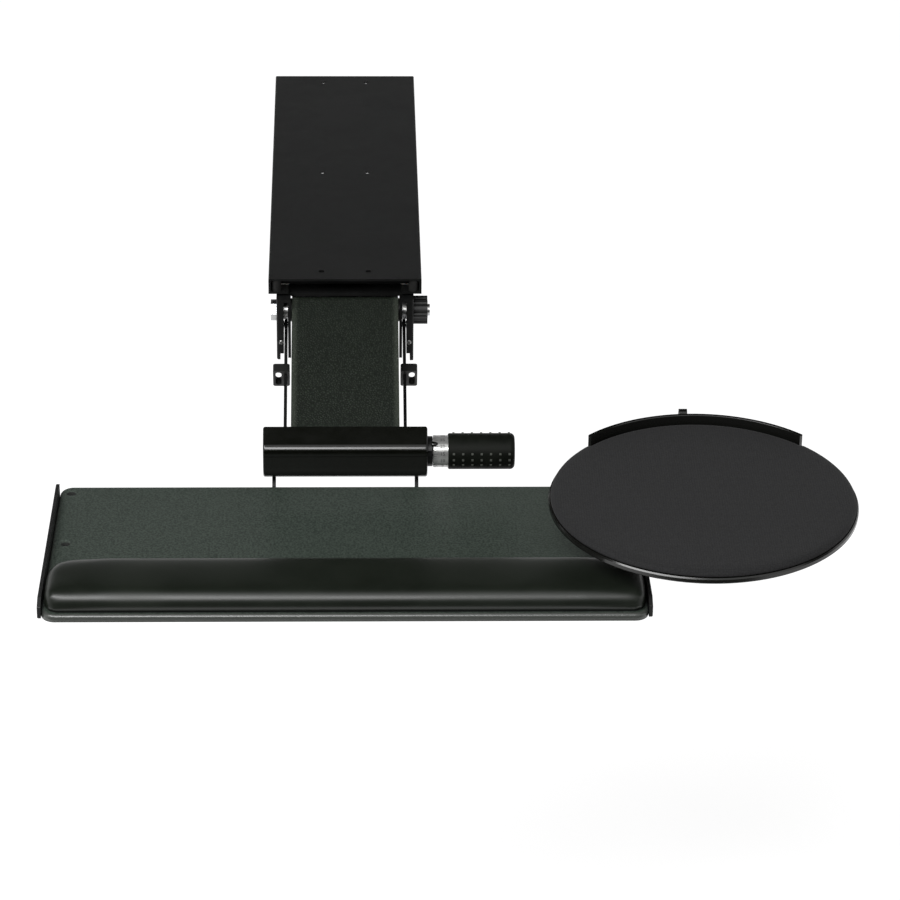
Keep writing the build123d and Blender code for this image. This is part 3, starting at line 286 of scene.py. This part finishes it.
pores = place(hide_grain, "TexNoise", {"Vector": spot, "Scale": 2600.0, "Detail": 1.0})
height = place(hide_grain, "Math", {0: pores.outputs[0], 1: 0.25, 2: crown.outputs[0]},
               operation="MULTIPLY_ADD")
hide_grain.links.new(height.outputs[0], sent.inputs["Height"])
hide_grain.links.new(crown.outputs[0], sent.inputs["Crown"])

grained_skin, tree = start_finish("grained_skin")
hide = from_group(tree, hide_grain, Cells=480.0, Crease=0.36)
touch = from_group(tree, speckle, Drift=22.0)
tone = place(tree, "Math", {0: spread(tree, touch.outputs["Patch"], 0.75, 1.0), 1: hide.outputs["Crown"]},
             operation="MULTIPLY")
cover_low, cover_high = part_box("arm_cover")
cover_half, sheen_starts, sheen_full = (cover_high[0] - cover_low[0]) / 2, 0.0055, 0.0025
sideways = place(tree, "SeparateXYZ", {0: place(tree, "TexCoord").outputs["Object"]}).outputs[0]
from_middle = place(tree, "Math", {0: sideways}, operation="ABSOLUTE").outputs[0]
# Painted highlight: over a band along each long edge the skin colour turns paler, standing in for the light
# its rounded edges catch.
painted_edge_sheen = place(tree, "MapRange", {"Value": from_middle, "From Min": cover_half - sheen_starts,
                                  "From Max": cover_half - sheen_full})
grain_colour = two_tone(tree, tone.outputs[0], (0.0034, 0.0054, 0.0032), (0.0176, 0.0240, 0.0166))
wear_and_sheen = two_tone(tree, tone.outputs[0], (0.0220, 0.0270, 0.0200), (0.0420, 0.0490, 0.0380))
surface(tree, blend(tree, painted_edge_sheen.outputs[0], grain_colour, wear_and_sheen),
        spread(tree, hide.outputs["Crown"], 0.60, 0.46), hide.outputs["Height"], 0.00034, 0.7,
        Specular_IOR_Level=0.22)
finish(powder_coat, "arm_channel")
finish(grained_skin, "arm_cover")

# Side links and their clips
# Two flat steel links, powder coated like the arm, keep the head level. A moulded clip with a round-ended
# loop is snapped on each, and zinc-plated pins hold their lower ends to the head.
finish(powder_coat, "left_link", "right_link")
finish(moulded_black, "left_clip", "right_clip")
finish(zinc_plate, "lower_link_pins")

# Head
# A folded steel frame, powder coated, under a smooth moulded hood that small screws hold on it. The
# hood's front is left bare.
hood_satin, tree = start_finish("hood_satin")
skin = from_group(tree, speckle, Grain=1700.0, Drift=20.0)
surface(tree, two_tone(tree, skin.outputs["Patch"], (0.0018, 0.0022, 0.0012), (0.0034, 0.0038, 0.0026)),
        spread(tree, skin.outputs["Patch"], 0.14, 0.20), skin.outputs["Height"], 0.00003, 0.35,
        Specular_IOR_Level=0.5)
finish(hood_satin, "head_cover")
finish(powder_coat, "head_frame")
finish(zinc_plate, "cover_screws")

# Dial
# The tilt shaft carries a chromed collar with a printed scale, and a rubber grip with rows of bumps.
# The black ring beside the collar has a nub that reaches over the scale as its pointer.
chrome, tree = start_finish("chrome")
wiped = from_group(tree, speckle, Grain=5000.0, Drift=140.0, Wander=2.0)
surface(tree, two_tone(tree, wiped.outputs["Patch"], (0.43, 0.43, 0.42), (0.52, 0.52, 0.51)),
        spread(tree, wiped.outputs["Patch"], 0.16, 0.24), wiped.outputs["Height"], 0.00001, 0.2,
        Metallic=0.65)

collar_low, collar_high = (Vector(corner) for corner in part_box("dial_collar"))
collar_radius = (collar_high.z - collar_low.z) / 2
collar_middle = (collar_low + collar_high) / 2

grip_rubber, tree = start_finish("grip_rubber")
tack = from_group(tree, speckle, Grain=2400.0, Drift=70.0)
bump_root, bump_tip = 0.0151, 0.0155
grip_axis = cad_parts["dial_grip"].matrix_world.inverted() @ collar_middle
from_axis = place(tree, "VectorMath", {0: place(tree, "TexCoord").outputs["Object"], 1: grip_axis},
                  operation="SUBTRACT")
across_axis = place(tree, "VectorMath", {0: from_axis.outputs[0], 1: (0.0, 1.0, 1.0)}, operation="MULTIPLY")
out_from_axis = place(tree, "VectorMath", {0: across_axis.outputs[0]}, operation="LENGTH").outputs["Value"]
# Painted highlight: the tips of the bumps are coloured much paler, standing in for the small glints they
# catch.
painted_tip_highlight = place(tree, "MapRange", {"Value": out_from_axis, "From Min": bump_root, "From Max": bump_tip})
rubber = two_tone(tree, tack.outputs["Patch"], (0.0030, 0.0038, 0.0026), (0.0062, 0.0074, 0.0054))
surface(tree, blend(tree, painted_tip_highlight.outputs[0], rubber, (0.075, 0.08, 0.07, 1.0)),
        spread(tree, tack.outputs["Patch"], 0.50, 0.60), tack.outputs["Height"], 0.00005, 0.5,
        Specular_IOR_Level=0.10)
finish(moulded_black, "dial_ring")
finish(chrome, "dial_collar")
finish(grip_rubber, "dial_grip")
finish(zinc_plate, "dial_shaft")

scale_ink, tree = start_finish("scale_ink")
print_wear = from_group(tree, speckle, Grain=4000.0, Drift=500.0)
surface(tree, two_tone(tree, print_wear.outputs["Patch"], (0.010, 0.010, 0.010), (0.030, 0.030, 0.030)),
        spread(tree, print_wear.outputs["Patch"], 0.45, 0.6), print_wear.outputs["Height"], 0.00001, 0.3,
        Specular_IOR_Level=0.3)

ink_lift, longest_edge = 0.00006, 0.0004


def on_collar(across, around):
    radius = collar_radius + ink_lift
    return (collar_middle.x + across, collar_middle.y - radius * math.cos(around),
            collar_middle.z + radius * math.sin(around))


def add_figure(scale, text, size, across, around):
    curve = bpy.data.curves.new("figure", "FONT")
    curve.body = text
    curve.size = size
    curve.align_x = "CENTER"
    curve.align_y = "CENTER"
    curve.resolution_u = 3
    letter = bpy.data.objects.new("figure", curve)
    scene.collection.objects.link(letter)
    bpy.context.view_layer.update()
    flat = bpy.data.meshes.new_from_object(letter.evaluated_get(bpy.context.evaluated_depsgraph_get()))
    figure = bmesh.new()
    figure.from_mesh(flat)
    long_edges = [edge for edge in figure.edges if edge.calc_length() > longest_edge]
    bmesh.ops.subdivide_edges(figure, edges=long_edges, cuts=2)
    bmesh.ops.triangulate(figure, faces=figure.faces[:])
    for corner in figure.verts:
        corner.co = on_collar(across + corner.co.x, around + corner.co.y / collar_radius)
    figure.to_mesh(flat)
    figure.free()
    scale.from_mesh(flat)
    bpy.data.objects.remove(letter)
    bpy.data.curves.remove(curve)
    bpy.data.meshes.remove(flat)


def smooth_skin(shape):
    bmesh.ops.recalc_face_normals(shape, faces=shape.faces)
    for face in shape.faces:
        face.smooth = True


def piece_from(name, shape, *materials):
    mesh = bpy.data.meshes.new(name)
    shape.to_mesh(mesh)
    shape.free()
    piece = bpy.data.objects.new(name, mesh)
    scene.collection.objects.link(piece)
    for material in materials:
        mesh.materials.append(material)
    return piece


scale_marks = bmesh.new()
scale_width, line_width, figure_size, figure_across = 0.0112, 0.00042, 0.0042, 0.0016
long_line, short_line, line_pitch, scale_centre = 0.0034, 0.0021, 9.0, 18.0


def line_angle(step):
    return math.radians(step * line_pitch + scale_centre)


for step in range(-9, 10):
    left = -scale_width / 2
    right = left + (long_line if step % 3 == 0 else short_line)
    half = line_width / 2 / collar_radius
    scale_marks.faces.new([scale_marks.verts.new(on_collar(x, line_angle(step) + turn)) for x, turn in (
        (left, -half), (right, -half), (right, half), (left, half))])
for index, step in enumerate(range(-9, 10, 3)):
    add_figure(scale_marks, str(index * 5), figure_size, figure_across, line_angle(step))
scale_marks.normal_update()
dial_scale = piece_from("dial_scale", scale_marks, scale_ink)
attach(dial_scale, "dial")

# The nub is a low dome, long over the scale and blunt towards the black ring.
nub = bmesh.new()
nub_reach, nub_half, nub_height, nub_clear = 0.0041, 0.0023, 0.0012, 0.0001
nub_angle, nub_points, blunt = math.radians(55.0), 20, 0.4
domes = []
for level in range(5):
    rise = math.radians(level * 20.0)
    ring = []
    for step in range(nub_points):
        turn = step * math.tau / nub_points
        x, y, z = on_collar(0.0, nub_angle + nub_half * math.cos(rise) * math.sin(turn) / collar_radius)
        outward = (Vector((x, y, z)) - collar_middle).normalized()
        reach = nub_reach * math.cos(rise) * math.cos(turn) * (1.0 if math.cos(turn) > 0 else blunt)
        ring.append(nub.verts.new(Vector((collar_low.x + reach, y, z))
                                  + outward * (nub_clear + nub_height * math.sin(rise))))
    domes.append(ring)
for lower, upper in zip(domes, domes[1:]):
    for step in range(nub_points):
        nub.faces.new((lower[step - 1], lower[step], upper[step], upper[step - 1]))
nub.faces.new(domes[-1])
nub.faces.new(domes[0][::-1])
smooth_skin(nub)
pointer_nub = piece_from("pointer_nub", nub, hood_satin)
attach(pointer_nub, "head")

# Tilt works
# Inside the head a machined nut travels on the shaft's thread, and its peg turns the slotted steel barrel.
# Nylon bushes in the barrel run on the shaft, and a folded steel bracket on the barrel carries the board.
worked_steel, tree = start_finish("worked_steel")
cut = from_group(tree, speckle, Grain=3600.0, Drift=40.0, Wander=1.0)
surface(tree, two_tone(tree, cut.outputs["Patch"], (0.30, 0.30, 0.30), (0.45, 0.45, 0.44)),
        spread(tree, cut.outputs["Patch"], 0.32, 0.5), cut.outputs["Height"], 0.00003, 0.5, Metallic=1.0)
finish(worked_steel, "tilt_nut", "tilt_barrel")
finish(glide_nylon, "shaft_bushes")
finish(powder_coat, "tilt_bracket")

# Board
# A thin phenolic board with rounded corners, a fine pebbled face and two countersunk holes near each
# side. Screws from below hold it to the tilt bracket, and a moulded rail runs along each side edge.
board_low, board_high = (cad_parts["tray_board"].matrix_world.inverted() @ Vector(corner)
                         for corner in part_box("tray_board"))
front_reach, front_full, sink_starts, sink_full = 0.010, 0.008, 0.0014, 0.0019
board_face, tree = start_finish("board_face")
pebble = from_group(tree, speckle, Grain=620.0, Drift=9.0)
fleck = place(tree, "MapRange", {"Value": pebble.outputs["Height"], "From Min": 0.38, "From Max": 0.62})
ground = two_tone(tree, pebble.outputs["Patch"], (0.0150, 0.0215, 0.0170), (0.0215, 0.0295, 0.0235))
flecked = blend(tree, fleck.outputs[0], ground, (0.0480, 0.0630, 0.0510, 1.0))
texture_space = place(tree, "TexCoord")
facing_up = place(tree, "SeparateXYZ", {0: texture_space.outputs["Normal"]}).outputs[2]
where = place(tree, "SeparateXYZ", {0: texture_space.outputs["Object"]})
sloped = place(tree, "MapRange", {"Value": facing_up, "From Min": 0.995, "From Max": 0.95})
at_front = place(tree, "MapRange", {"Value": where.outputs[1], "From Min": board_low.y + front_reach,
                                    "From Max": board_low.y + front_full})
sunk = place(tree, "MapRange", {"Value": where.outputs[2], "From Min": board_high.z - sink_starts,
                                "From Max": board_high.z - sink_full})
front_round = place(tree, "Math", {0: sloped.outputs[0], 1: at_front.outputs[0]}, operation="MULTIPLY")
countersink = place(tree, "Math", {0: sloped.outputs[0], 1: front_round.outputs[0]}, operation="SUBTRACT")
# Painted shade: the countersinks' sloped walls, below the top face, are coloured near black.
painted_hole_shade = place(tree, "Math", {0: countersink.outputs[0], 1: sunk.outputs[0]}, operation="MULTIPLY")
# Painted highlight: the rounded front edge is coloured paler than the face, standing in for the light it
# catches.
front_edge_highlighted = blend(tree, front_round.outputs[0], flecked, (0.0560, 0.0600, 0.0550, 1.0))
surface(tree, blend(tree, painted_hole_shade.outputs[0], front_edge_highlighted, (0.004, 0.005, 0.004, 1.0)),
        spread(tree, countersink.outputs[0], spread(tree, front_round.outputs[0], 0.46, 0.25), 0.9),
        pebble.outputs["Height"], 0.00016, 0.5, Specular_IOR_Level=0.6)
finish(board_face, "tray_board")
finish(moulded_black, "left_rail", "right_rail")
finish(zinc_plate, "board_screws")
finish(rivet_black, "rail_screws")

# Palm rest
# A soft cushion with a smooth skin, crowned and full at the front, bonded to a thin stiff strip on the
# board's front edge. The strip stays flat under it.
cushion_skin, tree = start_finish("cushion_skin")
supple = from_group(tree, speckle, Grain=1300.0, Drift=11.0, Wander=0.6)
surface(tree, two_tone(tree, supple.outputs["Patch"], (0.0068, 0.0090, 0.0062), (0.0100, 0.0128, 0.0090)),
        spread(tree, supple.outputs["Patch"], 0.33, 0.40), supple.outputs["Height"], 0.00005, 0.4,
        Specular_IOR_Level=0.45)
finish(moulded_black, "palm_rest_base")

rest_low, rest_high = (Vector(corner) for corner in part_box("palm_rest"))
middle, size = (rest_low + rest_high) / 2, rest_high - rest_low
voxel, shrink, foot_level = 0.0024, 0.0005, 0.0012
palm_cushion = bpy.data.objects.new("palm_cushion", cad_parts["palm_rest"].data.copy())
scene.collection.objects.link(palm_cushion)
remesh = palm_cushion.modifiers.new("cells", "REMESH")
remesh.mode = "VOXEL"
remesh.voxel_size = voxel
even = palm_cushion.modifiers.new("even", "SMOOTH")
even.factor, even.iterations = 0.5, 10


def evaluated(piece):
    mesh = bpy.data.meshes.new_from_object(piece.evaluated_get(bpy.context.evaluated_depsgraph_get()))
    piece.modifiers.clear()
    piece.data = mesh
    return mesh


# The two ends are softened further than the long middle, and the foot stays flat on the strip.
cushion_mesh = evaluated(palm_cushion)
end_reach, end_blend, end_foot = 0.050, 0.035, 0.003
ends = palm_cushion.vertex_groups.new(name="ends")
for corner in cushion_mesh.vertices:
    softening = (abs(corner.co.x - middle.x) - size.x / 2 + end_reach) / end_blend
    if softening > 0.0 and corner.co.z > rest_low.z + end_foot:
        ends.add([corner.index], min(softening, 1.0), "REPLACE")
soft = palm_cushion.modifiers.new("soft", "SMOOTH")
soft.factor, soft.iterations, soft.vertex_group = 0.5, 40, "ends"
cushion_mesh = evaluated(palm_cushion)
foot = palm_cushion.vertex_groups.new(name="foot")
for corner in cushion_mesh.vertices:
    if corner.co.z < rest_low.z + foot_level:
        corner.co.z = rest_low.z
        foot.add([corner.index], 1.0, "REPLACE")
    corner.co.x = middle.x + (corner.co.x - middle.x) * (1.0 - 2 * shrink / size.x)
    corner.co.y = middle.y + (corner.co.y - middle.y) * (1.0 - 2 * shrink / size.y)
    corner.co.z = rest_low.z + (corner.co.z - rest_low.z) * (1.0 - shrink / size.z)

# Pressure fills the skin out from inside. Only the outward part of it is kept, evened out over the
# neighbours, so that the skin is full and has no wrinkles.
resting = [(corner.co.copy(), corner.normal.copy()) for corner in cushion_mesh.vertices]
stuffing = palm_cushion.modifiers.new("stuffing", "CLOTH")
stuffing.settings.quality = 6
stuffing.settings.mass = 0.3
stuffing.settings.effector_weights.gravity = 0.0
stuffing.settings.use_pressure = True
stuffing.settings.uniform_pressure_force = 4.0
stuffing.settings.vertex_group_mass = "foot"
stuffing.settings.tension_stiffness = 8.0
stuffing.settings.compression_stiffness = 8.0
sim_frames, swell_limit, swell_passes, still_below = 20, 0.0009, 24, 0.001
for number in range(1, sim_frames + 1):
    scene.frame_set(number)
swollen = evaluated(palm_cushion)
swell = [min(max((corner.co - start).dot(outward), 0.0), swell_limit)
         for corner, (start, outward) in zip(swollen.vertices, resting)]
for number in range(swell_passes):
    total, count = [0.0] * len(swell), [0] * len(swell)
    for edge in swollen.edges:
        one, other = edge.vertices
        total[one] += swell[other]
        total[other] += swell[one]
        count[one] += 1
        count[other] += 1
    swell = [(own + shared / max(sharing, 1)) / 2 for own, shared, sharing in zip(swell, total, count)]
for corner, (start, outward), out in zip(swollen.vertices, resting, swell):
    corner.co = start + outward * (out if start.z > rest_low.z + still_below else 0.0)
scene.frame_set(1)
for face in palm_cushion.data.polygons:
    face.use_smooth = True
rounder = palm_cushion.modifiers.new("rounder", "SUBSURF")
rounder.levels = rounder.render_levels = 1
palm_cushion.data.materials.clear()
palm_cushion.data.materials.append(cushion_skin)
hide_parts("palm_rest")
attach(palm_cushion, "tray")

# Side support
# A lipped steel channel under the board's right side holds a carrier, whose flat outrigger has a sleeve
# with a sliding post. Two moulded knobs lock them, and a flat arm on the post reaches to the platform's
# hinge. The steel is powder coated, and the post, the screws and the hinge pin are zinc plated.
finish(powder_coat, "mouse_rail", "mouse_carrier", "post_sleeve", "mouse_arm", "platform_bracket")
finish(zinc_plate, "mouse_rail_screws", "mouse_post", "hinge_pin")
finish(moulded_black, "slide_knob", "height_knob")

# Round platform
# A glossy moulded disc with a thin proud rim and a raised fence along its back, grooved along the top. A
# small hooked clip sits on the back of the fence.
disc_gloss, tree = start_finish("disc_gloss")
sheen = from_group(tree, speckle, Grain=1500.0, Drift=12.0)
surface(tree, two_tone(tree, sheen.outputs["Patch"], (0.0046, 0.0048, 0.0042), (0.0075, 0.0078, 0.0068)),
        spread(tree, sheen.outputs["Patch"], 0.14, 0.20), sheen.outputs["Height"], 0.00002, 0.3,
        Specular_IOR_Level=0.5)
finish(disc_gloss, "mouse_platform", "cord_clip")

# Pad
# Knitted cloth bonded to a soft rubber sheet, cut round, with its edge rolled over and a shallow recess
# along the back for the fence.
knit, given, sent = effect("knit", {"Stitches": 1500.0}, ("Height", "Loop"))
spot = place(knit, "TexCoord").outputs["Object"]
rows = []
for direction in ("X", "Y"):
    rows.append(place(knit, "TexWave", {"Vector": spot, "Scale": given.outputs["Stitches"],
                                        "Distortion": 0.6, "Detail": 1.0, "Detail Scale": 2.0},
                      wave_type="BANDS", bands_direction=direction))
loop = place(knit, "Math", {0: rows[0].outputs[1], 1: rows[1].outputs[1]}, operation="MULTIPLY")
fuzz = place(knit, "TexNoise", {"Vector": spot, "Scale": 3800.0, "Detail": 3.0})
raised = place(knit, "Math", {0: fuzz.outputs[0], 1: 0.6, 2: loop.outputs[0]}, operation="MULTIPLY_ADD")
knit.links.new(raised.outputs[0], sent.inputs["Height"])
knit.links.new(loop.outputs[0], sent.inputs["Loop"])

pad_cloth, tree = start_finish("pad_cloth")
yarn = from_group(tree, knit, Stitches=160.0)
lint = from_group(tree, speckle, Grain=900.0, Drift=30.0)
nap = place(tree, "MapRange", {"Value": lint.outputs["Height"], "From Min": 0.36, "From Max": 0.64})
tone = place(tree, "Math", {0: yarn.outputs["Loop"], 1: 0.3, 2: nap.outputs[0]}, operation="MULTIPLY_ADD")
surface(tree, two_tone(tree, tone.outputs[0], (0.0128, 0.0128, 0.0133), (0.0205, 0.0205, 0.0212)),
        spread(tree, yarn.outputs["Loop"], 0.82, 0.72), yarn.outputs["Height"], 0.00012, 0.5,
        Specular_IOR_Level=0.15, Sheen_Weight=0.06, Sheen_Roughness=0.5)

pad_edge, tree = start_finish("pad_edge")
foam = from_group(tree, speckle, Grain=1600.0, Drift=60.0)
surface(tree, two_tone(tree, foam.outputs["Patch"], (0.0060, 0.0060, 0.0062), (0.0110, 0.0110, 0.0112)),
        spread(tree, foam.outputs["Patch"], 0.6, 0.75), foam.outputs["Height"], 0.00010, 0.5,
        Specular_IOR_Level=0.2)

pad_low, pad_high = (Vector(corner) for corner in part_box("mouse_pad"))
full_radius, recess_radius, pad_thickness = 0.1234, 0.1214, 0.0055
recess_half, recess_blend = 46.5, 1.6
pad_centre = Vector(((pad_low.x + pad_high.x) / 2, pad_low.y + full_radius, pad_low.z))
rolled_edge = [(-0.0012, 0.0), (-0.0003, 0.0004), (0.0, 0.0011), (-0.0001, 0.0020), (-0.0004, 0.0029),
               (-0.0009, 0.0037), (-0.0016, 0.0044), (-0.0026, 0.0050), (-0.0038, 0.0053),
               (-0.0054, pad_thickness)]
flat_top = [(-full_radius * (1 - part), pad_thickness) for part in (0.9, 0.75, 0.55, 0.35, 0.15)]
foam_rings = 2


def pad_radius(degrees):
    away = min(max((abs(degrees) - recess_half) / recess_blend + 0.5, 0.0), 1.0)
    return recess_radius + (full_radius - recess_radius) * (3 - 2 * away) * away * away


pad = bmesh.new()
rings = []
for inset, height in rolled_edge + flat_top:
    ring = []
    for degrees in range(-180, 180):
        radius, turn = pad_radius(degrees) + inset, math.radians(degrees)
        ring.append(pad.verts.new(pad_centre + Vector((radius * math.sin(turn), radius * math.cos(turn),
                                                       height))))
    rings.append(ring)
for index, (outer, inner) in enumerate(zip(rings, rings[1:])):
    for step in range(len(outer)):
        face = pad.faces.new((outer[step - 1], outer[step], inner[step], inner[step - 1]))
        face.material_index = 1 if index < foam_rings else 0
pad.faces.new(rings[-1])
pad.faces.new(rings[0][::-1]).material_index = 1
smooth_skin(pad)
round_pad = piece_from("round_pad", pad, pad_cloth, pad_edge)
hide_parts("mouse_pad")
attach(round_pad, "platform")
